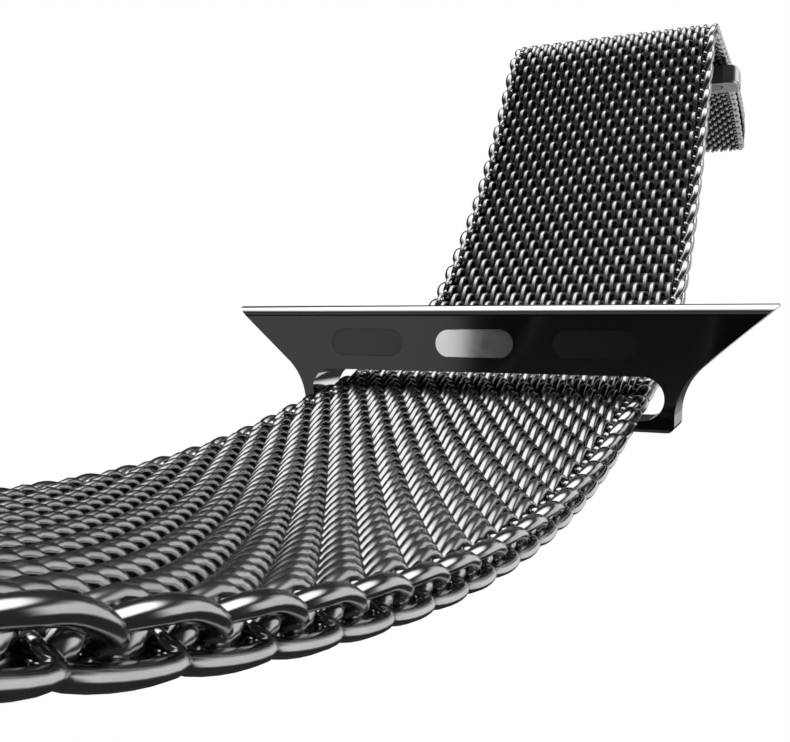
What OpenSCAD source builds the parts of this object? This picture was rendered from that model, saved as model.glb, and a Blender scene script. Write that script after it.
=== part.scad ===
// Milanese mesh watch band: a woven steel ribbon that slides through a slotted connector,
// folds back and ends in a magnetic clasp. Its other end is pinned to a second connector.
// X runs across the band, Y away from the viewer, Z up. The origin is the middle of the
// sliding connector's rail, at the top edge of its front face.

/* [Mesh] */
// Width of the woven ribbon over its edge links
mesh_w = 21.4; // [18:0.2:22]
// Thickness of the woven ribbon
mesh_t = 1.4; // [1.2:0.1:1.6]
// Length of one edge link along the band, which joins two rows of wire
link_pitch = 2.6; // [2.4:0.1:3]
// Spacing of the wire turns across the band
turn_pitch = 1.34; // [1.2:0.02:1.6]
// Thickness of the wire in the turns
wire_d = 0.4; // [0.3:0.02:0.44]
// Thickness of the thicker edge links
edge_d = 0.5; // [0.4:0.02:0.56]
// Free gap between the edge links of two neighbouring lengths of mesh
edge_gap = 0.3; // [0.28:0.02:0.5]

/* [Route] */
// Slope of the ribbon where it passes the slot, in degrees
slot_slope = 10; // [6:1:12]
// Radius of the fold at the far end of the tail
fold_r = 2.5; // [2.4:0.1:3]

/* [Connector] */
// Length of the rail that slides into the watch
rail_l = 36; // [34:0.5:40]
// Height of the connector from rail to bottom bar
lug_h = 7.7; // [7.4:0.1:9]
// Depth of the connector from front to back
lug_d = 4; // [3.6:0.1:5]
// Width of the neck at the bottom of the connector
neck_w = 24.9; // [24.8:0.1:28]
// Clear length of the slot for the ribbon
slot_l = 23.7; // [23.4:0.1:23.9]
// Clear height of the slot for the ribbon
slot_h = 2.65; // [2.5:0.05:2.8]
// Thickness of the bar under the slot
bar_t = 0.7; // [0.6:0.05:1]

/* [Latch and pads] */
// Length of each oval pad and of the latch
pill_l = 5.2; // [4.6:0.1:5.6]
// Height of each oval pad and of the latch
pill_h = 1.76; // [1.5:0.02:1.9]
// Distance from the latch's middle to a pad's middle
pill_pitch = 7.7; // [7.4:0.1:8.4]
// Depth of the pad pockets
pad_depth = 1; // [0.6:0.1:1.1]
// How far the latch stands out of the face
latch_proud = 0.35; // [0.2:0.05:0.5]
// Length of the coil springs behind the latch
spring_l = 1.6; // [1.3:0.1:1.8]

/* [Clasp] */
// Width of the clasp
clasp_w = 23.6; // [23:0.2:26]
// Length of the clasp along the band
clasp_l = 7.6; // [7.2:0.1:9]
// Thickness of the clasp
clasp_t = 2.1; // [2:0.05:2.6]
// Length of the oval cover in the clasp
cover_l = 19.6; // [19.2:0.2:20.2]
// Width of the oval cover in the clasp
cover_w = 4.4; // [4.2:0.1:4.6]

/* [Hidden] */
$fn = 32;

// Colours
dark_steel = [0.24, 0.24, 0.26];
bright_steel = [0.75, 0.75, 0.77];
pad_grey = [0.16, 0.16, 0.17];
magnet_grey = [0.55, 0.55, 0.58];

// Clearances
fit_gap = 0.03;
hinge_gap = 0.07;
pin_gap = 0.04;
eps = 0.01;

// Connector
shoulder = 41.3;
knee_z = -(rail_l - neck_w) / 2 * tan(shoulder);
slot_z = -(lug_h - bar_t) + slot_h / 2;
pill_z = -2.48;

// Latch cavity, front to back: wall, flange, springs, closing plate
latch_wall = 1.2;
flange_t = 0.4;
plate_y = latch_wall + 0.02 + flange_t + spring_l;
spring_wire = 0.22;
spring_r = 0.64;
spring_x = 1.6;

// Anchor pins that hold the last row of wire turns
pin_r = 0.38;
pin_wall = 0.32;
pin_z = -6.7;

// The ribbon's centreline starts here, in the middle of the slot
slot_mid = [lug_d / 2, slot_z - 0.025];

// Arcs along the centreline: [length, turn in degrees], outward from the slot.
// The tail climbs, arches over, folds back on itself and ends under its own upper run.
tail_arcs = [
    [6, 1], [15.5, 27], [18, 14], [14, 6], [7.5, -55], [28, 1.5], [22.5, -11],
    [fold_r * PI * 184 / 180, -184], [17.5, 4], [6, 7], [14.5, 3]
];
// The front run sags a little, then rises toward the fixed connector.
front_arcs = [[9, 0], [15, -10], [24, -16], [60, -114]];

// Lengths of mesh, in edge links, counted outward from the slot
slot_links = 7;
tail_links = [4, 5, 5, 4, 4, 5, 5, 5, 7, 5, 5];
front_links = [5, 5, 5, 5, 5, 6];

row_pitch = link_pitch / 2;
row_w = mesh_w - 2 * edge_d + 0.2;
turns = floor((row_w - wire_d - 0.6) / turn_pitch) + 1;
knuckle_r = mesh_t / 2 - 0.08;
core_r = 0.17;
slot_end = slot_links * link_pitch / 2;
tail_end = slot_end + total(tail_links, len(tail_links)) * link_pitch;
front_end = -slot_end - total(front_links, len(front_links)) * link_pitch;

// The clasp lies under the upper run, at this distance along it
clasp_s = 77.75;
clasp_rest_gap = 0.2;
shell_wall = 0.35;

// Sum of the first n entries of a list
function total(list, n) = n <= 0 ? 0 : list[n - 1] + total(list, n - 1);

// One arc from a pose [y, z, heading]: length l, turn t degrees
function along(pose, l, t) =
    t == 0
    ? [pose[0] + l * cos(pose[2]), pose[1] + l * sin(pose[2]), pose[2]]
    : let (r = l * 180 / (PI * t), a = pose[2], b = pose[2] + t)
      [pose[0] + r * (sin(b) - sin(a)), pose[1] - r * (cos(b) - cos(a)), b];

// Pose at distance s along a list of arcs
function walk(arcs, s, pose, i = 0) =
    s <= arcs[i][0] || i == len(arcs) - 1
    ? along(pose, s, arcs[i][1] * s / arcs[i][0])
    : walk(arcs, s - arcs[i][0], along(pose, arcs[i][0], arcs[i][1]), i + 1);

// Pose of the ribbon at distance s from the slot: positive up the tail, negative to the front.
// The heading always points along the tail, so the outer side is up in the pose's own frame.
function station(s) =
    s >= 0
    ? walk(tail_arcs, s, [slot_mid[0], slot_mid[1], slot_slope])
    : let (p = walk(front_arcs, -s, [slot_mid[0], slot_mid[1], 180 + slot_slope]))
      [p[0], p[1], p[2] - 180];

function dir(a) = [cos(a), sin(a)];

// Puts a flat drawing, made in the plane of Y and Z, at distance s along the ribbon
module place(s) {
    p = station(s);
    translate([p[0], p[1]]) rotate(p[2]) children();
}

// Puts a solid at distance s along the ribbon
module at_station(s) {
    p = station(s);
    translate([0, p[0], p[1]]) rotate([p[2], 0, 0]) children();
}

// Gives a drawing in Y and Z a width w along X, centred
module across(w) {
    rotate([90, 0, 90]) linear_extrude(w, center = true) children();
}

// Gives a drawing in X and Z a depth from y0 to y1
module deep(y0, y1) {
    translate([0, y1, 0]) rotate([90, 0, 0]) linear_extrude(y1 - y0) children();
}

// A round bar along X
module cross_bar(r, l) {
    rotate([0, 90, 0]) cylinder(r = r, h = l, center = true);
}

// An oval with straight sides and round ends
module pill(l, h) {
    square([l - h, h], center = true);
    for (end = [-1, 1]) translate([end * (l - h) / 2, 0]) circle(d = h + eps);
}

// The small region between a corner at p and an arc of radius r that touches both its edges,
// which leave p at angles a and b. Added to a hollow corner or cut from a sharp one.
module nook(p, a, b, r) {
    half = (b - a) / 2;
    t = r / tan(half);
    c = p + r / sin(half) * dir(a + half);
    difference() {
        polygon([p, p + t * dir(a), c, p + t * dir(b)]);
        translate(c) circle(r = r + eps / 2);
    }
}

// Mesh

// The rows of wire turns, seen from the side
module row_profile(s0, rows) {
    for (i = [1:rows - 2]) place(s0 + (i + 0.5) * row_pitch) circle(d = mesh_t);
}

// One edge: each link is an upper and a lower bar with pointed, curved ends
module edge_profile(s0, links) {
    c = (link_pitch - edge_gap) / 2;
    h = edge_d / 2;
    r = (c * c + h * h) / (2 * h);
    for (i = [0:links - 1], level = [-1, 1])
        place(s0 + (i + 0.5) * link_pitch) translate([0, level * (mesh_t - edge_d) / 2])
            intersection() {
                translate([0, r - h]) circle(r = r, $fn = 64);
                translate([0, h - r]) circle(r = r, $fn = 64);
            }
}

// A wire turn that hooks round a hinge line, with its strand running back to its own row on
// the side given by way
module knuckle(s, way, r, bore) {
    place(s) difference() {
        union() {
            circle(r = r);
            translate([way * row_pitch * 0.7, 0])
                square([row_pitch * 1.4, 0.9 * mesh_t - 2 * 0.18], center = true);
        }
        if (bore > 0) circle(r = bore);
    }
}

// A row of such turns. Rows of opposite kinds sit half a turn apart and so lie in between.
module knuckle_row(count, s, way, r, bore) {
    for (k = [0:count - 1])
        translate([(k - (count - 1) / 2) * turn_pitch, 0, 0])
            across(wire_d) knuckle(s, way, r, bore);
}

// One end of a length of mesh. A core end carries the hinge's core wire, a hook end runs round
// its neighbour's core, and a pin end runs round an anchor pin.
module mesh_end(s, way, kind) {
    if (kind == "core") {
        knuckle_row(turns, s, way, knuckle_r, 0);
        across((turns - 1) * turn_pitch) place(s) circle(r = core_r);
    }
    if (kind == "hook") knuckle_row(turns - 1, s, way, knuckle_r, core_r + hinge_gap);
    if (kind == "pin")
        knuckle_row(turns, s, way, pin_r + pin_gap + pin_wall, pin_r + pin_gap);
}

// A length of mesh from s0, made of a number of edge links, with its two ends
module mesh_length(s0, links, start, end) {
    color(dark_steel) union() {
        across(row_w) row_profile(s0, 2 * links);
        for (side = [-1, 1])
            translate([side * (mesh_w - edge_d) / 2, 0, 0])
                across(edge_d) edge_profile(s0, links);
        mesh_end(s0, 1, start);
        mesh_end(s0 + links * link_pitch, -1, end);
    }
}

module mesh_slot() {
    mesh_length(-slot_end, slot_links, "core", "core");
}

module mesh_tail(n) {
    mesh_length(slot_end + total(tail_links, n - 1) * link_pitch, tail_links[n - 1],
        "hook", n == len(tail_links) ? "pin" : "core");
}

module mesh_front(n) {
    mesh_length(-slot_end - total(front_links, n) * link_pitch, front_links[n - 1],
        n == len(front_links) ? "pin" : "core", "hook");
}

// Connectors

// Front view: a long rail whose sloping shoulders run into a narrower neck
module connector_outline() {
    difference() {
        union() {
            polygon([[-rail_l / 2, 0], [rail_l / 2, 0], [rail_l / 2, -0.12],
                [neck_w / 2, knee_z - 0.12], [neck_w / 2, -lug_h],
                [-neck_w / 2, -lug_h], [-neck_w / 2, knee_z - 0.12], [-rail_l / 2, -0.12]]);
            for (side = [0, 1]) mirror([side, 0])
                nook([neck_w / 2, knee_z - 0.12], -90, shoulder, 4);
        }
        for (side = [0, 1]) mirror([side, 0]) nook([neck_w / 2, -lug_h], 90, 180, 0.5);
    }
}

// Side view, in Y and Z
module connector_side() {
    difference() {
        translate([0, -lug_h]) square([lug_d, lug_h]);
        nook([0, 0], -90, 0, 0.8);
        nook([lug_d, 0], 180, 270, 0.8);
        nook([0, -lug_h], 0, 90, 0.3);
        nook([lug_d, -lug_h], 90, 180, 0.3);
    }
}

// Body shared by both connectors, with the pad pockets and the latch cavity
module connector_blank() {
    difference() {
        intersection() {
            deep(-1, lug_d + 1) connector_outline();
            across(rail_l + 2) connector_side();
        }
        for (side = [-1, 1])
            translate([side * pill_pitch, 0, pill_z])
                deep(-1, pad_depth) pill(pill_l + 0.04, pill_h + 0.04);
        translate([0, 0, pill_z]) {
            deep(-1, lug_d + 1) pill(pill_l + 2 * fit_gap, pill_h + 2 * fit_gap);
            deep(latch_wall, lug_d + 1) pill(6.6, 2.4);
            deep(plate_y, lug_d + 1) pill(7.6, 3);
        }
    }
}

module slot_connector() {
    color(dark_steel) difference() {
        connector_blank();
        translate([0, 0, slot_z]) deep(-1, lug_d + 1) pill(slot_l, slot_h);
    }
}

// The mesh is pinned between two ears in the neck
module fixed_body() {
    color(dark_steel) difference() {
        connector_blank();
        translate([-11, -1, -lug_h - 1]) cube([22, lug_d + 2, lug_h + 1 - 5.4]);
        translate([0, lug_d / 2, pin_z]) cross_bar(pin_r + 0.01, rail_l);
    }
}

module anchor_pin(l) {
    color(bright_steel) difference() {
        cross_bar(pin_r, l);
        for (side = [-1, 1]) translate([side * l / 2, 0, 0]) cross_bar(0.16, 0.3);
    }
}

module latch() {
    color(bright_steel) translate([0, 0, pill_z]) {
        difference() {
            deep(-latch_proud, latch_wall + 0.1) pill(pill_l, pill_h);
            deep(-latch_proud - 1, -latch_proud + 0.12) difference() {
                pill(pill_l + 1, pill_h + 1);
                pill(pill_l - 0.3, pill_h - 0.3);
            }
        }
        deep(latch_wall + 0.02, latch_wall + 0.02 + flange_t) pill(6.5, 2.3);
    }
}

// A coil spring along Y: a tube of 6 sides swept along n turns, 8 rings to a turn
module coil(l, n) {
    rise = (l - spring_wire) / n;
    tilt = atan(rise / (2 * PI * spring_r));
    rings = 8 * n;
    points = [for (i = [0:rings], k = [0:5])
        let (turn = 45 * i, u = spring_r + spring_wire / 2 * cos(60 * k),
             v = spring_wire / 2 * sin(60 * k))
        [u * cos(turn) + v * sin(tilt) * sin(turn),
         u * sin(turn) - v * sin(tilt) * cos(turn),
         spring_wire / 2 + rise * i / 8 + v * cos(tilt)]];
    sides = [for (i = [0:rings - 1], k = [0:5], half = [0, 1])
        let (a = 6 * i + k, b = 6 * i + (k + 1) % 6)
        half == 0 ? [a, b, b + 6] : [a, b + 6, a + 6]];
    ends = [for (k = [1:4], last = [0, 1])
        last == 0 ? [0, k + 1, k] : [6 * rings, 6 * rings + k, 6 * rings + k + 1]];
    rotate([-90, 0, 0]) polyhedron(points, concat(sides, ends));
}

module latch_springs() {
    color(bright_steel) for (side = [-1, 1])
        translate([side * spring_x, plate_y - spring_l, pill_z]) coil(spring_l, 3);
}

// Plate that closes the latch cavity from behind; two bosses centre the springs
module latch_retainer() {
    color(dark_steel) translate([0, 0, pill_z]) {
        deep(plate_y + 0.01, lug_d - 0.05) pill(7.6 - 2 * fit_gap, 3 - 2 * fit_gap);
        for (side = [-1, 1]) translate([side * spring_x, plate_y + 0.1, 0])
            rotate([90, 0, 0]) cylinder(d = 0.9, h = 0.6);
    }
}

module pad(side) {
    color(pad_grey) translate([side * pill_pitch, 0, pill_z])
        deep(0.02, pad_depth - eps) pill(pill_l, pill_h);
}

// Puts a connector's part at the front end of the ribbon, its pin on the last row of turns
module at_front_end() {
    at_station(front_end) rotate([90, 0, 0]) translate([0, -lug_d / 2, -pin_z]) children();
}

module fixed_connector() { at_front_end() fixed_body(); }
module fixed_latch() { at_front_end() latch(); }
module fixed_latch_springs() { at_front_end() latch_springs(); }
module fixed_latch_retainer() { at_front_end() latch_retainer(); }
module fixed_pad(side) { at_front_end() pad(side); }
module fixed_anchor_pin() {
    at_front_end() translate([0, lug_d / 2, pin_z]) anchor_pin(neck_w - 0.6);
}

// Clasp

// Middle of the clasp: under the upper run, at a right angle to it
module at_clasp() {
    at_station(clasp_s)
        translate([0, 0, -mesh_t / 2 - clasp_rest_gap - clasp_t / 2]) children();
}

// The pocket at the back of the clasp, for the last rows of mesh
pocket_l = 1.75;
cover_y = -0.7;
magnet_t = 0.85;
shunt_t = 0.3;
cover_t = 0.5;

// Plan of the clasp, with round corners
module clasp_plan(inset) {
    w = clasp_w / 2 - inset;
    l = clasp_l / 2 - inset;
    difference() {
        square([2 * w, 2 * l], center = true);
        for (side = [0, 1]) mirror([side, 0]) {
            nook([w, -l], 90, 180, 1.8 - inset);
            nook([w, l], 180, 270, 0.5);
        }
    }
}

module clasp_shell() {
    color(dark_steel) difference() {
        at_clasp() difference() {
            union() {
                translate([0, 0, -clasp_t / 2 + 0.2])
                    linear_extrude(clasp_t - 0.4) clasp_plan(0);
                translate([0, 0, -clasp_t / 2]) linear_extrude(clasp_t) clasp_plan(0.2);
            }
            translate([0, cover_y, -clasp_t / 2 - 1])
                linear_extrude(1 + cover_t) pill(cover_l + 0.4, cover_w + 0.4);
            translate([0, cover_y, -clasp_t / 2])
                linear_extrude(clasp_t - shell_wall) square([18.6, 3.5], center = true);
            translate([-11, clasp_l / 2 - pocket_l, -0.8])
                cube([22, pocket_l + 1, clasp_t + 1]);
        }
        at_station(tail_end) cross_bar(pin_r + 0.01, clasp_w - 0.8);
    }
}

module clasp_cover() {
    color(dark_steel) at_clasp() translate([0, cover_y, -clasp_t / 2])
        linear_extrude(cover_t) pill(cover_l, cover_w);
}

// Three bar magnets side by side against the upper wall
module clasp_magnets() {
    color(magnet_grey) at_clasp() for (k = [-1:1])
        translate([k * 6.1, cover_y, clasp_t / 2 - shell_wall - magnet_t / 2])
            cube([5.8, 3.3, magnet_t], center = true);
}

// Steel plate that closes the magnets' field on the cover side
module clasp_shunt() {
    color(bright_steel) at_clasp()
        translate([0, cover_y, clasp_t / 2 - shell_wall - magnet_t - shunt_t / 2])
            cube([18.3, 3.4, shunt_t], center = true);
}

module clasp_anchor_pin() {
    at_station(tail_end) anchor_pin(clasp_w - 1);
}

slot_connector();
latch();  // slot_latch
latch_springs();  // slot_latch_springs
latch_retainer();  // slot_latch_retainer
pad(-1);  // slot_pad_left
pad(1);  // slot_pad_right
fixed_connector();
fixed_latch();
fixed_latch_springs();
fixed_latch_retainer();
fixed_pad(-1);  // fixed_pad_left
fixed_pad(1);  // fixed_pad_right
fixed_anchor_pin();
clasp_shell();
clasp_cover();
clasp_magnets();
clasp_shunt();
clasp_anchor_pin();
mesh_slot();
for (n = [1:11]) mesh_tail(n);
for (n = [1:6]) mesh_front(n);
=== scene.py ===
# %% [markdown]
# # Milanese mesh watch band
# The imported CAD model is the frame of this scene: its nodes carry the shapes and its bodies the
# joints. The connectors, latches, pads and the clasp keep their CAD shapes and get procedural
# materials. The solid lengths of the ribbon are replaced by woven wire, because the camera
# looks at the weave from close by, and only real strands catch the light as it does.

# %% Load the CAD model
import math

import bpy
import numpy as np
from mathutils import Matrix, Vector


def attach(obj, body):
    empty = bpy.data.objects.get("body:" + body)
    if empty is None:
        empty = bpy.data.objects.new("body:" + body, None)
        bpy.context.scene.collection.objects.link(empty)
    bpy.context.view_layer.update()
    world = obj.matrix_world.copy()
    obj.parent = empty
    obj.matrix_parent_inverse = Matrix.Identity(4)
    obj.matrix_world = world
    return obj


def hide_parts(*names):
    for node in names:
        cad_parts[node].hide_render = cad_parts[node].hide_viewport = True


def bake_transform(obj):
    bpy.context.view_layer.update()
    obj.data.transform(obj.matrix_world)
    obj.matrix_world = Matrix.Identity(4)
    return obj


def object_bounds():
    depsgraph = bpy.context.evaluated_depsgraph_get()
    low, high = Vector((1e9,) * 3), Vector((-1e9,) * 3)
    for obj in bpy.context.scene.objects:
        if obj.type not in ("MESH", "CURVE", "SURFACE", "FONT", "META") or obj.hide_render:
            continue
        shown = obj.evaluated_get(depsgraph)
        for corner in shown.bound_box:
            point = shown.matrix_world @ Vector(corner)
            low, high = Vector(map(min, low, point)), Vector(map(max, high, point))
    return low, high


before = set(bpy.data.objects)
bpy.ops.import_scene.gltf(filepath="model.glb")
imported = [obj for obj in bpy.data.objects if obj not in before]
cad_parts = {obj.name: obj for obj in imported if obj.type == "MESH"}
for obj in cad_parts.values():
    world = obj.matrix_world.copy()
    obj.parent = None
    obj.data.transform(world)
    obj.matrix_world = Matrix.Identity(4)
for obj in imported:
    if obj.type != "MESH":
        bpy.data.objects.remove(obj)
cad_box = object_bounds()

# %% [markdown]
# ## Camera
# The photograph is taken low in front of the rail and from close by, so near links look much
# larger than far ones. Its straight rail edges and the even pitch of the links give one place,
# one turn to the left and one tilt down in the model's own frame, so these are used as they
# are. The focal length is kept in pixels of the picture, as it was solved, and becomes
# millimetres by lens = focal length x sensor width / picture width.

# %% Place the camera
YAW, TILT = math.radians(23.9), math.radians(3.503)
FOCAL_PX, PICTURE_PX, SENSOR = 901.59, 790.0, 36.0
CAMERA_PLACE = (0.018825, -0.055119, -0.000701)
forward = Vector((-math.sin(YAW) * math.cos(TILT), math.cos(YAW) * math.cos(TILT),
                  -math.sin(TILT)))
cam_data = bpy.data.cameras.new("view_camera")
cam_data.sensor_width = SENSOR
cam_data.lens = FOCAL_PX * SENSOR / PICTURE_PX
cam_data.clip_start = 0.001
cam_data.clip_end = 20.0
camera = bpy.data.objects.new("view_camera", cam_data)
bpy.context.collection.objects.link(camera)
camera.rotation_mode = "QUATERNION"
camera.rotation_quaternion = forward.to_track_quat("-Z", "Y")
camera.location = CAMERA_PLACE
bpy.context.scene.camera = camera
bpy.context.scene.view_settings.view_transform = "Standard"
print("lens", round(cam_data.lens, 2), "mm")

# %% [markdown]
# ## Route of the ribbon
# The real ribbon bends a little at every row on its way through the slot, over the arch and
# back in a fold. A drawn curve could carry it, but the CAD source lays it on a chain of arcs,
# and the same chain keeps the woven ribbon exactly where the solid one was. The arcs run
# outwards from the slot on both sides, each as (length in mm, turn in degrees). The CAD ribbon
# is cut into rigid lengths of a few links each, with a hinge between them.

# %% Arcs and lengths
# In mm and degrees: LINK is the pitch of the edge links, FOLD the radius of the fold, SLOT_MID
# the (Y, Z) of the slot's middle, and SLOPE how steeply the ribbon rises through the slot.
MM = 0.001
LINK = 2.6
ROW = LINK / 2
FOLD = 2.5
FOLD_TURN = 184
SLOT_MID = (2.0, -5.7)
SLOPE = 10.0
TAIL = [(6, 1), (15.5, 27), (18, 14), (14, 6), (7.5, -55), (28, 1.5), (22.5, -11),
        (FOLD * math.radians(FOLD_TURN), -FOLD_TURN), (17.5, 4), (6, 7), (14.5, 3)]
FRONT = [(9, 0), (15, -10), (24, -16), (60, -114)]
TAIL_LINKS = [4, 5, 5, 4, 4, 5, 5, 5, 7, 5, 5]
FRONT_LINKS = [5, 5, 5, 5, 5, 6]
SLOT_LINKS = 7
SLOT_END = SLOT_LINKS * LINK / 2
print("links", sum(TAIL_LINKS) + sum(FRONT_LINKS) + SLOT_LINKS)

# %% Trace the centreline


def trace(arcs, heading, step=0.02):
    """Points along a chain of arcs: heading h(s) is linear on each arc, and the position is the
    integral of (cos h, sin h) ds by the midpoint rule."""
    h = [np.array([math.radians(heading)])]
    for length, turn in arcs:
        n = int(round(length / step))
        h.append(h[-1][-1] + np.radians(turn) * (np.arange(1, n + 1) / n))
    h = np.concatenate(h)
    mid = (h[1:] + h[:-1]) / 2
    steps = np.concatenate([np.full(int(round(length / step)),
                                    length / int(round(length / step))) for length, _ in arcs])
    s = np.concatenate([[0], np.cumsum(steps)])
    y = SLOT_MID[0] + np.concatenate([[0], np.cumsum(np.cos(mid) * steps)])
    z = SLOT_MID[1] + np.concatenate([[0], np.cumsum(np.sin(mid) * steps)])
    return s, y, z, h


tail_t = trace(TAIL, SLOPE)
front_t = trace(FRONT, 180 + SLOPE)
S_T = np.concatenate([-front_t[0][:0:-1], tail_t[0]])
Y_T = np.concatenate([front_t[1][:0:-1], tail_t[1]])
Z_T = np.concatenate([front_t[2][:0:-1], tail_t[2]])
H_T = np.concatenate([front_t[3][:0:-1] - math.pi, tail_t[3]])
print("route from", round(float(S_T[0]), 1), "to", round(float(S_T[-1]), 1), "mm")

# %% Bend flat points onto the route


def bend(x, s, b):
    """Flat (x across, s along, b out of the outer side) in millimetres to the bent ribbon in
    metres: Y = Y(s) - b sin h(s), Z = Z(s) + b cos h(s)."""
    h = np.interp(s, S_T, H_T)
    y = np.interp(s, S_T, Y_T) - b * np.sin(h)
    z = np.interp(s, S_T, Z_T) + b * np.cos(h)
    return np.stack([x, y, z], -1) * MM


def route_point(s):
    """The ribbon's centre at distance s, in metres."""
    return tuple(float(v) for v in bend(np.zeros(1), np.array([float(s)]), np.zeros(1))[0])


print("clasp end at", [round(v, 4) for v in route_point(S_T[-1])])

# %% [markdown]
# ## Swept bars
# Wires, links and hooks are all bars with a rounded section. Blender can bevel a curve for
# each, but there are thousands of turns, and their width changes along the way. So numpy works
# out one flat row or link as rings of points along a path, copies it along the band, and bends
# all the copies onto the route at once.

# %% Rings and faces of a bar


def tube(path, out, r_side, r_out, sides):
    """Rings of a bar along path (n, 3): P(i, a) = path(i) + r_side cos a side + r_out sin a out,
    with out made square to the tangent and side = tangent x out. Returns (n, sides, 3)."""
    tangent = np.gradient(path, axis=0)
    tangent /= np.linalg.norm(tangent, axis=1, keepdims=True)
    out = out - (out * tangent).sum(1, keepdims=True) * tangent
    out /= np.linalg.norm(out, axis=1, keepdims=True)
    side = np.cross(tangent, out)
    a = 2 * np.pi * np.arange(sides) / sides
    return (path[:, None, :]
            + (np.cos(a)[None, :, None] * side[:, None, :]) * np.reshape(r_side, (-1, 1, 1))
            + (np.sin(a)[None, :, None] * out[:, None, :]) * np.reshape(r_out, (-1, 1, 1)))


def tube_faces(rings, sides):
    """Quads between neighbouring rings and the two flat end caps, as corner indexes in the order
    that makes every face point outwards."""
    i, k = np.meshgrid(np.arange(rings - 1), np.arange(sides), indexing="ij")
    a, b = i * sides + k, i * sides + (k + 1) % sides
    quads = np.stack([a, a + sides, b + sides, b], -1).reshape(-1, 4)
    caps = np.stack([np.arange(sides), (rings - 1) * sides + np.arange(sides)[::-1]])
    return quads, caps


print("quads of a bar with 3 rings of 6:", len(tube_faces(3, 6)[0]))

# %% Copies and joins of flat bars


def repeat(flat, quads, caps, shifts):
    """Copies of a flat bar moved along s by each of the shifts: copy j has the points
    P + (0, shift j, 0) and its faces renumbered by j times the number of points."""
    pts = flat[None, :, :] + np.stack(
        [np.zeros(len(shifts)), shifts, np.zeros(len(shifts))], -1)[:, None, :]
    step = (np.arange(len(shifts)) * len(flat))[:, None, None]
    return (pts.reshape(-1, 3), (quads[None] + step).reshape(-1, 4),
            (caps[None] + step).reshape(-1, caps.shape[1]))


def join(parts):
    """Several (points, quads, caps) stacked into one, each part's faces renumbered by the number
    of points before it."""
    first = np.cumsum([0] + [len(pts) for pts, _, _ in parts[:-1]])
    return (np.concatenate([pts for pts, _, _ in parts]),
            np.concatenate([quads + n for (_, quads, _), n in zip(parts, first)]),
            np.concatenate([caps + n for (_, _, caps), n in zip(parts, first)]))


def bent_object(name, part, material):
    """One smooth mesh object from flat (points, quads, caps), bent onto the route."""
    flat, quads, caps = part
    points = bend(flat[:, 0], flat[:, 1], flat[:, 2])
    corners = np.concatenate([quads.ravel(), caps.ravel()]).astype(np.int32)
    sizes = np.concatenate([np.full(len(quads), 4), np.full(len(caps), caps.shape[1])])
    starts = np.concatenate([[0], np.cumsum(sizes)[:-1]]).astype(np.int32)
    mesh = bpy.data.meshes.new(name)
    mesh.vertices.add(len(points))
    mesh.vertices.foreach_set("co", points.astype(np.float32).ravel())
    mesh.loops.add(len(corners))
    mesh.loops.foreach_set("vertex_index", corners)
    mesh.polygons.add(len(sizes))
    mesh.polygons.foreach_set("loop_start", starts)
    mesh.update(calc_edges=True)
    mesh.validate()
    mesh.shade_smooth()
    mesh.materials.append(material)
    obj = bpy.data.objects.new(name, mesh)
    bpy.context.collection.objects.link(obj)
    return obj


print("bar helpers ready")

# %% [markdown]
# ## Steel
# The wires, links, latches, pins and the clasp are polished steel, some darker and some
# brighter, with a faint grain. One flat grey would look like plastic, and a picture of steel
# would have to be fitted to every piece. So one noise field on Object coordinates varies the
# colour and the roughness a little, and it stays on the metal when the band bends.

# %% Polished steel


def node_material(name):
    """A material with a Principled shader on its output, and its coordinate node."""
    mat = bpy.data.materials.new(name)
    mat.use_nodes = True
    nodes, links = mat.node_tree.nodes, mat.node_tree.links
    nodes.clear()
    out = nodes.new("ShaderNodeOutputMaterial")
    bsdf = nodes.new("ShaderNodeBsdfPrincipled")
    links.new(bsdf.outputs["BSDF"], out.inputs["Surface"])
    coords = nodes.new("ShaderNodeTexCoord")
    return mat, nodes, links, bsdf, coords


GRAIN_DETAIL = 4.0
DARK_AT, LIGHT_AT = 0.35, 0.7


def metal(name, dark, light, rough_lo, rough_hi, scale, grain=(1, 1, 1)):
    """Steel that follows one noise field f on Object coordinates: the colour goes from dark at
    f = DARK_AT to light at f = LIGHT_AT, and the roughness is rough_lo + f (rough_hi - rough_lo).
    grain multiplies the coordinates first, so (1, 8, 1) leaves fine lines along X."""
    mat, nodes, links, bsdf, coords = node_material(name)
    bsdf.inputs["Metallic"].default_value = 1.0
    mapping = nodes.new("ShaderNodeMapping")
    mapping.inputs["Scale"].default_value = grain
    noise = nodes.new("ShaderNodeTexNoise")
    noise.inputs["Scale"].default_value = scale
    noise.inputs["Detail"].default_value = GRAIN_DETAIL
    ramp = nodes.new("ShaderNodeValToRGB")
    for end, position, colour in zip(ramp.color_ramp.elements, (DARK_AT, LIGHT_AT), (dark, light)):
        end.position, end.color = position, (*colour, 1)
    rough = nodes.new("ShaderNodeMapRange")
    rough.inputs["To Min"].default_value = rough_lo
    rough.inputs["To Max"].default_value = rough_hi
    links.new(coords.outputs["Object"], mapping.inputs["Vector"])
    links.new(mapping.outputs["Vector"], noise.inputs["Vector"])
    links.new(noise.outputs["Fac"], ramp.inputs["Fac"])
    links.new(noise.outputs["Fac"], rough.inputs["Value"])
    links.new(ramp.outputs["Color"], bsdf.inputs["Base Color"])
    links.new(rough.outputs["Result"], bsdf.inputs["Roughness"])
    return mat


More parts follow.
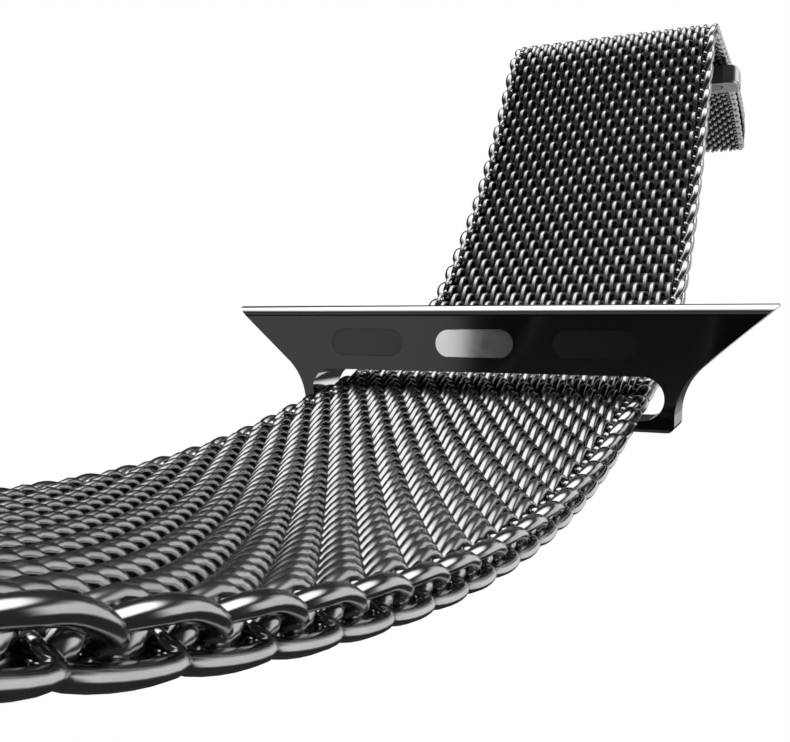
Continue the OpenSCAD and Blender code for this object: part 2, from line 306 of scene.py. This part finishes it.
BRUSHED = (1, 8, 1)
wire_steel = metal("wire_steel", (0.33, 0.33, 0.335), (0.42, 0.42, 0.425), 0.2, 0.3, 900)
# near-black steel whose colour is painted shade for the wire hooks in shadow inside each row
core_painted_shade = metal("core_painted_shade", (0.02, 0.02, 0.02), (0.05, 0.05, 0.05), 0.4, 0.6, 1500)
link_steel = metal("link_steel", (0.38, 0.38, 0.385), (0.46, 0.46, 0.465), 0.14, 0.22, 700)
clasp_steel = metal("clasp_steel", (0.55, 0.55, 0.56), (0.65, 0.65, 0.66), 0.2, 0.3, 600, BRUSHED)
cover_steel = metal("cover_steel", (0.68, 0.68, 0.69), (0.78, 0.78, 0.79), 0.15, 0.25, 600,
                    BRUSHED)
bright_steel = metal("bright_steel", (0.72, 0.72, 0.73), (0.82, 0.82, 0.83), 0.05, 0.12, 800)
magnet_steel = metal("magnet_steel", (0.5, 0.5, 0.5), (0.6, 0.6, 0.6), 0.3, 0.45, 900)
print("steel finishes", len(bpy.data.materials))

# %% [markdown]
# ## Black coat
# The connectors and their pads are black. A black metal would mirror the room as strongly from
# the front as from the side. A coat is dark from the front and mirrors only at a flat angle, so
# this is a dark Principled shader without metal and with a raised index of refraction. The pads
# have the same coat, duller and with a fine relief.

# %% Glossy black with slight wear
RELIEF_DEPTH = 0.00003
SHADES = ((0.8, 0.82), (1.3, 1.32))
WEAR = (0.8, 1.25)


def glossy_black(name, base, rough, ior, grain, bump):
    """Black coat that follows one noise field f on Object coordinates: the colour goes from 0.8
    to 1.3 times base, slightly bluer, the roughness from 0.8 to 1.25 times rough, and f is the
    height of a relief of RELIEF_DEPTH, used at the strength bump."""
    mat, nodes, links, bsdf, coords = node_material(name)
    noise = nodes.new("ShaderNodeTexNoise")
    noise.inputs["Scale"].default_value = grain
    noise.inputs["Detail"].default_value = GRAIN_DETAIL
    ramp = nodes.new("ShaderNodeValToRGB")
    for end, (shade, blue) in zip(ramp.color_ramp.elements, SHADES):
        end.color = (base * shade, base * shade, base * blue, 1)
    wear = nodes.new("ShaderNodeMapRange")
    wear.inputs["To Min"].default_value = rough * WEAR[0]
    wear.inputs["To Max"].default_value = rough * WEAR[1]
    relief = nodes.new("ShaderNodeBump")
    relief.inputs["Strength"].default_value = bump
    relief.inputs["Distance"].default_value = RELIEF_DEPTH
    links.new(coords.outputs["Object"], noise.inputs["Vector"])
    links.new(noise.outputs["Fac"], ramp.inputs["Fac"])
    links.new(noise.outputs["Fac"], wear.inputs["Value"])
    links.new(noise.outputs["Fac"], relief.inputs["Height"])
    links.new(ramp.outputs["Color"], bsdf.inputs["Base Color"])
    links.new(wear.outputs["Result"], bsdf.inputs["Roughness"])
    links.new(relief.outputs["Normal"], bsdf.inputs["Normal"])
    bsdf.inputs["IOR"].default_value = ior
    return mat


RAIL_COAT = dict(base=0.004, rough=0.08, ior=1.62, grain=900, bump=0.02)
rail_black = glossy_black("rail_black", **RAIL_COAT)
pad_grey = glossy_black("pad_grey", base=0.022, rough=0.2, ior=1.6, grain=5200, bump=0.12)
print("coats", rail_black.name, pad_grey.name)

# %% [markdown]
# ### Bare edges
# On the sliding connector the coat ends at the face, and the rounded edges are bare steel. The
# edges could be cut off as pieces of their own, but they belong to one solid body. So the shader
# tells them from the face by the direction of the surface: the Y part of the normal is near 1
# on the face and falls off around the edge.

# %% Coat with bare edges
FACE_NORMAL_Y, EDGE_NORMAL_Y = 0.97, 0.9
BARE_STEEL = (0.62, 0.62, 0.63, 1)


def axes_of(tree, output):
    """The X, Y and Z sockets of one output of Texture Coordinate, by letter."""
    coords = tree.nodes.new("ShaderNodeTexCoord")
    split = tree.nodes.new("ShaderNodeSeparateXYZ")
    tree.links.new(coords.outputs[output], split.inputs["Vector"])
    return {axis: split.outputs[axis] for axis in "XYZ"}


def bare_edges(mat, steel):
    """Steel instead of coat by the factor m, which goes in a straight line from 0 at
    |n_y| = FACE_NORMAL_Y to 1 at |n_y| = EDGE_NORMAL_Y. m is also how metallic it is."""
    nodes, links = mat.node_tree.nodes, mat.node_tree.links
    bsdf = nodes["Principled BSDF"]
    size = nodes.new("ShaderNodeMath")
    size.operation = "ABSOLUTE"
    bare = nodes.new("ShaderNodeMapRange")
    bare.inputs["From Min"].default_value = FACE_NORMAL_Y
    bare.inputs["From Max"].default_value = EDGE_NORMAL_Y
    links.new(axes_of(mat.node_tree, "Normal")["Y"], size.inputs[0])
    links.new(size.outputs["Value"], bare.inputs["Value"])
    mix = nodes.new("ShaderNodeMix")
    mix.data_type = "RGBA"
    # the colour sockets of a Mix node share their names with its other types, so they go by number
    coat_in, steel_in, colour_out = mix.inputs[6], mix.inputs[7], mix.outputs[2]
    base = bsdf.inputs["Base Color"]
    links.new(base.links[0].from_socket, coat_in)
    steel_in.default_value = steel
    links.new(bare.outputs["Result"], mix.inputs["Factor"])
    links.new(colour_out, base)
    links.new(bare.outputs["Result"], bsdf.inputs["Metallic"])
    return mat


rail_bare_edges = bare_edges(glossy_black("rail_bare_edges", **RAIL_COAT), BARE_STEEL)
print("bare edges where |n_y| is under", FACE_NORMAL_Y)

# %% [markdown]
# ## Wire turns
# Milanese mesh is woven from flattened coils: each row across the band is one coil of wire, and
# it hooks through the rows before and behind it, which are half a turn pitch aside. A bump on
# the flat ribbon would show no gaps and no round heads, so every coil is a real bar. With the
# angle t along the wire, s = REACH cos t, and b = -RISE sin t, with |sin t| to the power 0.9
# for a fuller crest, times (1 + 0.3 cos t), so that each outer strand climbs from its hidden
# tail to a round head. Dividing by 1.09 keeps the crest a little under RISE. A small tilt then
# turns s and b. Sideways the wire goes in steps, a quarter of the pitch in each head and three
# quarters in each tail, which keeps the strands straight and lets the inner ones close the gaps
# between the outer ones.

# %% Sizes of a row
# In mm: TURN is the pitch of the turns across the band, REACH and RISE half the length and half
# the height of a turn, WIRE_SIDE and WIRE_OUT the half widths of the wire's section.
TURN = 1.34
TURNS = 14.6
REACH, RISE = 1.12, 0.46
CREST_POWER = 0.9
HEAD_LEAN, LEAN_SCALE = 0.3, 1.09
COIL_TILT = math.radians(13)
WIRE_SIDE, WIRE_OUT = 0.23, 0.2
HEAD_STEP, TAIL_STEP = 0.24 * np.pi, 0.17 * np.pi
HEAD_SHARE, TAIL_SHARE = 0.25, 0.75
RING_SHIFT = 0.3
print("a row is", round(TURN * TURNS, 1), "mm wide")

# %% Path of the wire


def smooth_step(u, half):
    """0 before -half, 1 after half, 3 v^2 - 2 v^3 between."""
    v = np.clip((u + half) / (2 * half), 0, 1)
    return v * v * (3 - 2 * v)


def flat_power(v, p):
    """Sign-keeping power |v|^p, which makes the crest of a sine fuller for p below 1."""
    return np.sign(v) * np.abs(v) ** p


def stair(t):
    """Sideways place of the wire in pitches: level on the strands, a step of HEAD_SHARE around
    each head (t = 0) and one of TAIL_SHARE around each tail (t = pi)."""
    turn = np.floor((t + np.pi / 2) / (2 * np.pi))
    local = t - 2 * np.pi * turn
    return (turn - HEAD_SHARE + HEAD_SHARE * smooth_step(local, HEAD_STEP)
            + TAIL_SHARE * smooth_step(local - np.pi, TAIL_STEP))


def row_template(parity, turn_rings, sides):
    """One row around s = 0 by the formula above. t is shifted by -RING_SHIFT sin 2t, which
    brings the rings closer together in heads and tails. Rows with parity 1 lie half a pitch
    aside."""
    n = int(round(TURNS * turn_rings)) + 1
    t = 2 * np.pi * np.linspace(-TURNS / 2, TURNS / 2, n)
    t = t - RING_SHIFT * np.sin(2 * t)
    x = TURN * (stair(t) + 0.5 * parity - 0.25)
    s = REACH * np.cos(t)
    b = -RISE * flat_power(np.sin(t), CREST_POWER) * (1 + HEAD_LEAN * np.cos(t)) / LEAN_SCALE
    c, k = math.cos(COIL_TILT), math.sin(COIL_TILT)
    path = np.stack([x, s * c - b * k, s * k + b * c], -1)
    out = np.stack([np.zeros(n), s / REACH ** 2, b / RISE ** 2], -1)
    pts = tube(path, out, np.full(n, WIRE_SIDE), np.full(n, WIRE_OUT), sides)
    return (pts.reshape(-1, 3),) + tube_faces(n, sides)


print("points of a row", len(row_template(0, 16, 6)[0]))

# %% [markdown]
# ### Inside of a row
# Between the outer and the inner strands the hooks of neighbouring rows lie so close that hardly
# any light comes through. Modelling them all would double the weave for something that only
# looks dark, so one flat bar with narrower ends fills the inside of each row. Its near-black
# colour is painted shade, for the steel hooks in shadow inside the row and behind the edge links.

# %% Dark bar of a row
CORE_HALF, CORE_TAPER, CORE_SIDES = 10.0, 0.15, 8
CORE_S, CORE_B = -0.05, -0.03
CORE_END, CORE_MIDDLE = (0.5, 0.16), (0.69, 0.22)


def core_template():
    """A straight bar along x with the section CORE_MIDDLE, narrowed to CORE_END over the last
    CORE_TAPER on both sides."""
    x = np.array([-CORE_HALF, CORE_TAPER - CORE_HALF, CORE_HALF - CORE_TAPER, CORE_HALF])
    n = len(x)
    path = np.stack([x, np.full(n, CORE_S), np.full(n, CORE_B)], -1)
    out = np.tile([0.0, 0.0, 1.0], (n, 1))
    r_side, r_out = np.array([CORE_END, CORE_MIDDLE, CORE_MIDDLE, CORE_END]).T
    pts = tube(path, out, r_side, r_out, CORE_SIDES)
    return (pts.reshape(-1, 3),) + tube_faces(n, CORE_SIDES)


def weave(name, first_row, last_row, turn_rings, sides):
    """The wires and the bars of painted shade of the rows from first_row to last_row. Row j is
    centred on s = (j + 1/2) ROW, and odd rows have parity 1."""
    rows = np.arange(first_row, last_row + 1)
    wires = [repeat(*row_template(parity, turn_rings, sides),
                    (rows[rows % 2 == parity] + 0.5) * ROW) for parity in (0, 1)]
    wire = bent_object(name, join(wires), wire_steel)
    core = bent_object(name + "_core", repeat(*core_template(), (rows + 0.5) * ROW), core_painted_shade)
    return wire, core


print("dark bar", 2 * CORE_HALF, "mm long")

# %% [markdown]
# ## Edge links
# Along both edges the ends of two rows are joined by a thicker link, an upper and a lower bar.
# Each upper bar starts tucked behind the one before it, swells, and ends in a point over the
# next. These are freely curved shapes without a formula, so a smooth curve runs through a few
# given knots for its place and for its width. Behind the links each row's end turns in as a
# half ring.

# %% Bars of a link
LINK_X = 10.43


def spline(u, knots):
    """Smooth values at u from 0 to 1 through evenly spaced knots (Catmull-Rom: the slope at a
    knot is half the difference of its neighbours)."""
    k = np.asarray(knots, float)
    k = np.concatenate([[2 * k[0] - k[1]], k, [2 * k[-1] - k[-2]]])
    p = u * (len(knots) - 1)
    i = np.clip(p.astype(int), 0, len(knots) - 2)
    f = p - i
    a, b, c, d = k[i], k[i + 1], k[i + 2], k[i + 3]
    return b + 0.5 * f * (c - a + f * (2 * a - 5 * b + 4 * c - d + f * (3 * (b - c) + d - a)))


def link_template(side, level, rings, sides):
    """One bar of a link on the side x = side, upper (level 1) or lower (level -1), as splines
    for its place (x from LINK_X, s, b) and for the half widths of its section."""
    u = np.linspace(0, 1, rings)
    if level > 0:
        s = spline(u, [-1.9, -1.3, -0.55, 0.25, 0.95, 1.4])
        x = spline(u, [-0.70, -0.46, -0.14, -0.06, -0.04, -0.06])
        b = spline(u, [-0.02, 0.16, 0.40, 0.46, 0.30, 0.04])
        r_side = spline(u, [0.18, 0.26, 0.34, 0.35, 0.31, 0.17])
        r_out = spline(u, [0.14, 0.19, 0.235, 0.235, 0.21, 0.12])
    else:
        s = spline(u, [-2.5, -2.2, -1.1, 0.0, 0.24, 0.1])
        x = spline(u, [-0.45, -0.12, -0.04, -0.06, -0.16, -0.5])
        b = spline(u, [-0.26, -0.39, -0.44, -0.39, -0.22, 0.04])
        r_side = spline(u, [0.22, 0.3, 0.33, 0.3, 0.23, 0.16])
        r_out = spline(u, [0.16, 0.19, 0.205, 0.19, 0.17, 0.14])
    path = np.stack([side * (LINK_X + x), s, b], -1)
    out = np.tile([0.0, 0.0, 1.0], (rings, 1))
    pts = tube(path, out, r_side, r_out, sides)
    return (pts.reshape(-1, 3),) + tube_faces(rings, sides)


print("links stand", LINK_X, "mm from the middle")

# %% Hooks behind the links
HOOK_X, HOOK_BEND, HOOK_RUN = 9.72, 0.33, 0.3
HOOK_SIDE, HOOK_OUT, HOOK_RINGS = 0.31, 0.26, 7


def hook_template(side, sides):
    """The turned-in end of a row, a half ring from the lower to the upper bar:
    x = HOOK_X + HOOK_BEND cos t, s = HOOK_RUN sin t, b = HOOK_BEND sin t."""
    t = np.linspace(-0.5 * np.pi, 0.5 * np.pi, HOOK_RINGS)
    path = np.stack([side * (HOOK_X + HOOK_BEND * np.cos(t)), HOOK_RUN * np.sin(t),
                     HOOK_BEND * np.sin(t)], -1)
    out = np.stack([side * np.cos(t), np.zeros(HOOK_RINGS), np.sin(t)], -1)
    pts = tube(path, out, np.full(HOOK_RINGS, HOOK_SIDE), np.full(HOOK_RINGS, HOOK_OUT), sides)
    return (pts.reshape(-1, 3),) + tube_faces(HOOK_RINGS, sides)


def edge_links(name, first, last, rings, sides):
    """The links from first to last on both edges. Link k is centred on s = k LINK, and its two
    hooks stand half a row before and behind."""
    centres = np.arange(first, last + 1) * LINK
    rows = np.concatenate([centres - ROW / 2, centres + ROW / 2])
    parts = [repeat(*link_template(side, level, rings, sides), centres)
             for side in (-1, 1) for level in (-1, 1)]
    parts += [repeat(*hook_template(side, sides), rows) for side in (-1, 1)]
    return bent_object(name, join(parts), link_steel)


print("points of a hook", len(hook_template(1, 10)[0]))

# %% [markdown]
# ## The ribbon in pieces
# The CAD ribbon is a chain of rigid lengths, but the real one bends softly. If each woven piece
# rode on one length, the weave would tear open at every hinge. So each piece reaches from the
# middle of one length to the middle of the next and stays where it is made, on no body. Only the
# two end pieces ride on a single length.

# %% Where the lengths begin and end
lengths = [("front_%d" % (i + 1), n) for i, n in enumerate(FRONT_LINKS)][::-1]
lengths += [("mesh_middle", SLOT_LINKS)]
lengths += [("tail_%d" % (i + 1), n) for i, n in enumerate(TAIL_LINKS)]
spans = []
start = -SLOT_END - sum(FRONT_LINKS) * LINK
for body, n in lengths:
    spans.append((body, start, start + n * LINK))
    start += n * LINK
print("lengths", len(spans), "hinges", len(spans) - 1)

# %% Which links each piece has


def mid_link(a, b):
    """The link in the middle of a length from a to b, by whole links."""
    first, last = round((a + ROW) / LINK), round((b - ROW) / LINK)
    return (first + last) // 2


cuts = [mid_link(a, b) for _, a, b in spans]
first_link = round((spans[0][1] + ROW) / LINK)
last_link = round((spans[-1][2] - ROW) / LINK)
link_ranges = [(first_link, cuts[0])]
link_ranges += [(cuts[i] + 1, cuts[i + 1]) for i in range(len(cuts) - 1)]
link_ranges += [(cuts[-1] + 1, last_link)]
print("woven lengths", len(link_ranges), "with links", first_link, "to", last_link)

# %% Weave the ribbon
# In mm along the route: pieces from NEAR_FROM to NEAR_TO are close to the camera, so they get
# more rings and sides.
NEAR_FROM, NEAR_TO = -62, 12
NEAR = dict(turn_rings=18, wire_sides=8, link_rings=15, link_sides=10)
FAR = dict(turn_rings=16, wire_sides=6, link_rings=11, link_sides=7)


def cad_length(body):
    """The CAD node of the rigid length that a body carries."""
    return "mesh_slot" if body == "mesh_middle" else "mesh_" + body


ribbon = []
for i, (a, b) in enumerate(link_ranges):
    detail = NEAR if b * LINK < NEAR_TO and a * LINK > NEAR_FROM else FAR
    wire, core = weave("weave_%02d" % i, 2 * a - 1, 2 * b, detail["turn_rings"],
                       detail["wire_sides"])
    edges = edge_links("edge_links_%02d" % i, a, b, detail["link_rings"], detail["link_sides"])
    for piece in (wire, core, edges):
        if i == 0 or i == len(link_ranges) - 1:
            body = spans[0][0] if i == 0 else spans[-1][0]
            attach(piece, body)
            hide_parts(cad_length(body))
        else:
            one, two = spans[i - 1], spans[i]
            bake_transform(piece)
            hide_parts(cad_length(one[0]), cad_length(two[0]))
        ribbon.append(piece)
print("ribbon pieces", len(ribbon), "faces", sum(len(p.data.polygons) for p in ribbon))

# %% [markdown]
# ## Finishes of the CAD pieces
# The CAD pieces keep their shapes, so they only need the right finish each. The rails are black
# coated steel, the sliding one with bare edges, the pads dull black, and the clasp is brushed,
# with a brighter oval cover. The latches, springs and pins are bright, as parts that slide and
# rub are.

# %% Give each piece its finish
finishes = {
    "slot_connector": rail_bare_edges, "fixed_connector": rail_black,
    "slot_latch_retainer": rail_black, "fixed_latch_retainer": rail_black,
    "slot_latch": bright_steel, "fixed_latch": bright_steel,
    "slot_latch_springs": bright_steel, "fixed_latch_springs": bright_steel,
    "fixed_anchor_pin": bright_steel, "clasp_anchor_pin": bright_steel,
    "slot_pad_left": pad_grey, "slot_pad_right": pad_grey,
    "fixed_pad_left": pad_grey, "fixed_pad_right": pad_grey,
    "clasp_shell": clasp_steel, "clasp_cover": cover_steel,
    "clasp_magnets": magnet_steel, "clasp_shunt": bright_steel,
}
for name, mat in finishes.items():
    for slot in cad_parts[name].material_slots:
        slot.material = mat
print("CAD pieces with a finish", len(finishes))

# %% [markdown]
# ## White for the camera, a room for the steel
# The photograph has a plain white background, but its steel mirrors a dark room with a few
# bright panels. One white surround can't give both. Light Path tells camera rays from all
# others, so floor and world show white to the camera and the room to every other ray. The
# helpers here build soft-edged patches of light from the axes of a coordinate.

# %% Shader helpers


def math_node(tree, operation, a, b):
    """One math node, with a number or a socket on each input."""
    node = tree.nodes.new("ShaderNodeMath")
    node.operation = operation
    for i, v in enumerate((a, b)):
        if isinstance(v, float):
            node.inputs[i].default_value = v
        else:
            tree.links.new(v, node.inputs[i])
    return node.outputs["Value"]


def edge(tree, socket, dark, lit):
    """0 to 1 as the socket's value goes from dark to lit, 3 v^2 - 2 v^3 between."""
    node = tree.nodes.new("ShaderNodeMapRange")
    node.interpolation_type = "SMOOTHSTEP"
    node.inputs["From Min"].default_value = dark
    node.inputs["From Max"].default_value = lit
    tree.links.new(socket, node.inputs["Value"])
    return node.outputs["Result"]


def shader_mix(tree, factor, first, second):
    """Mix of two shader sockets: the first at factor 0, the second at factor 1."""
    mix = tree.nodes.new("ShaderNodeMixShader")
    tree.links.new(factor, mix.inputs["Fac"])
    tree.links.new(first, mix.inputs[1])
    tree.links.new(second, mix.inputs[2])
    return mix.outputs["Shader"]


def camera_sees(tree, white, room):
    """The white shader for camera rays and the room for every other ray."""
    path = tree.nodes.new("ShaderNodeLightPath")
    return shader_mix(tree, path.outputs["Is Camera Ray"], room, white)


WHITE = (1, 1, 1, 1)
print("shader helpers ready, white is", WHITE)

# %% [markdown]
# ### Floor
# The band stands on a white sheet. A sheet that is white to all rays would light the steel from
# below, where the photograph's links are black. So other rays pass through it, except where
# pale paper lies behind the object: there the steel mirrors it, over the full width near the
# clasp and only on the right farther away.

# %% White floor with pale paper behind
FLOOR_HALF, FLOOR_GAP = 3.0, 0.0008
PAPER = (0.75, 0.75, 0.75, 1)
PAPER_FRONT = (0.08, 0.11)
PAPER_LEFT, PAPER_NEAR_CLASP = (-0.02, 0.08), (0.3, 0.2)

floor_z = cad_box[0][2] - FLOOR_GAP
corners = [(x * FLOOR_HALF, y * FLOOR_HALF, floor_z)
           for x, y in ((-1, -1), (1, -1), (1, 1), (-1, 1))]
floor_mesh = bpy.data.meshes.new("floor")
floor_mesh.from_pydata(corners, [], [(0, 1, 2, 3)])
floor = bpy.data.objects.new("floor", floor_mesh)
bpy.context.collection.objects.link(floor)

floor_white = bpy.data.materials.new("floor_white")
floor_white.use_nodes = True
tree = floor_white.node_tree
tree.nodes.clear()
place = axes_of(tree, "Object")
behind = edge(tree, place["Y"], *PAPER_FRONT)
wide = math_node(tree, "MAXIMUM", edge(tree, place["X"], *PAPER_LEFT),
                 edge(tree, place["Y"], *PAPER_NEAR_CLASP))
clear = tree.nodes.new("ShaderNodeBsdfTransparent")
paper, white = (tree.nodes.new("ShaderNodeEmission") for _ in range(2))
paper.inputs["Color"].default_value = PAPER
white.inputs["Color"].default_value = WHITE
seen_by_steel = shader_mix(tree, math_node(tree, "MULTIPLY", behind, wide),
                           clear.outputs["BSDF"], paper.outputs["Emission"])
floor_out = tree.nodes.new("ShaderNodeOutputMaterial")
tree.links.new(camera_sees(tree, white.outputs["Emission"], seen_by_steel),
               floor_out.inputs["Surface"])
floor_mesh.materials.append(floor_white)
print("floor at", round(floor_z * 1000, 2), "mm")

# %% [markdown]
# ### Room
# Three patches of light stand in a dark room: bright paper behind on the right, a soft box
# overhead, and a narrow panel on the left. Real panels would have to be hidden from the camera
# one by one, so they are painted into the world by direction. Each patch has a strength and,
# for axes of the direction, the value at its dark end and at its lit end.

# %% Patches of light in the world
PAPER_RIGHT = (1.15, [("X", 0.02, 0.24), ("Y", 0.1, 0.5), ("Z", 0.6, 0.3), ("Z", -0.42, -0.2)])
SOFT_BOX = (2.6, [("Z", 0.68, 0.86), ("X", -0.72, -0.5), ("Y", -0.5, 0.1)])
LEFT_PANEL = (0.8, [("X", -0.322, -0.345), ("Y", -0.15, -0.45), ("X", -0.66, -0.56),
                    ("Z", 0.24, 0.08), ("Z", -0.35, -0.2)])
DARK_ROOM = 0.04


def patch(tree, axes, strength, edges):
    """The strength times the product of the soft edges of a patch."""
    value = strength
    for axis, dark, lit in edges:
        value = math_node(tree, "MULTIPLY", value, edge(tree, axes[axis], dark, lit))
    return value


world = bpy.data.worlds.new("studio")
bpy.context.scene.world = world
world.use_nodes = True
tree = world.node_tree
tree.nodes.clear()
direction = axes_of(tree, "Generated")
paper_or_box = math_node(tree, "MAXIMUM", patch(tree, direction, *PAPER_RIGHT),
                         patch(tree, direction, *SOFT_BOX))
lights = math_node(tree, "ADD", math_node(tree, "MAXIMUM", paper_or_box, DARK_ROOM),
                   patch(tree, direction, *LEFT_PANEL))
room, white = (tree.nodes.new("ShaderNodeBackground") for _ in range(2))
tree.links.new(lights, room.inputs["Color"])
white.inputs["Color"].default_value = WHITE
world_out = tree.nodes.new("ShaderNodeOutputWorld")
tree.links.new(camera_sees(tree, white.outputs["Background"], room.outputs["Background"]),
               world_out.inputs["Surface"])
print("soft box", SOFT_BOX[0], "in a room of", DARK_ROOM)

# %% [markdown]
# ### Lamps
# The room's patches make the reflections, and two weak soft lamps light what isn't mirror-like,
# such as the pads. They are hidden from the camera and from reflections, because on polished
# wire each lamp would show as a bright rectangle that the real room doesn't have.

# %% Soft lamps
LAMP_TARGET = Vector((0, 0.02, 0))


def soft_lamp(name, place, width, height, power):
    """A rectangular lamp of width x height metres at place that looks at LAMP_TARGET."""
    data = bpy.data.lights.new(name, "AREA")
    data.shape = "RECTANGLE"
    data.size, data.size_y, data.energy = width, height, power
    obj = bpy.data.objects.new(name, data)
    bpy.context.collection.objects.link(obj)
    obj.location = place
    obj.rotation_mode = "QUATERNION"
    obj.rotation_quaternion = (LAMP_TARGET - Vector(place)).to_track_quat("-Z", "Y")
    obj.visible_camera = False
    obj.visible_glossy = False
    return obj


lamps = [soft_lamp("lamp_left", (-0.45, 0.25, 0.5), width=0.4, height=0.4, power=0.8),
         soft_lamp("lamp_top", (0.0, 0.1, 0.6), width=0.5, height=0.4, power=1.0)]
print("lamps", len(lamps))
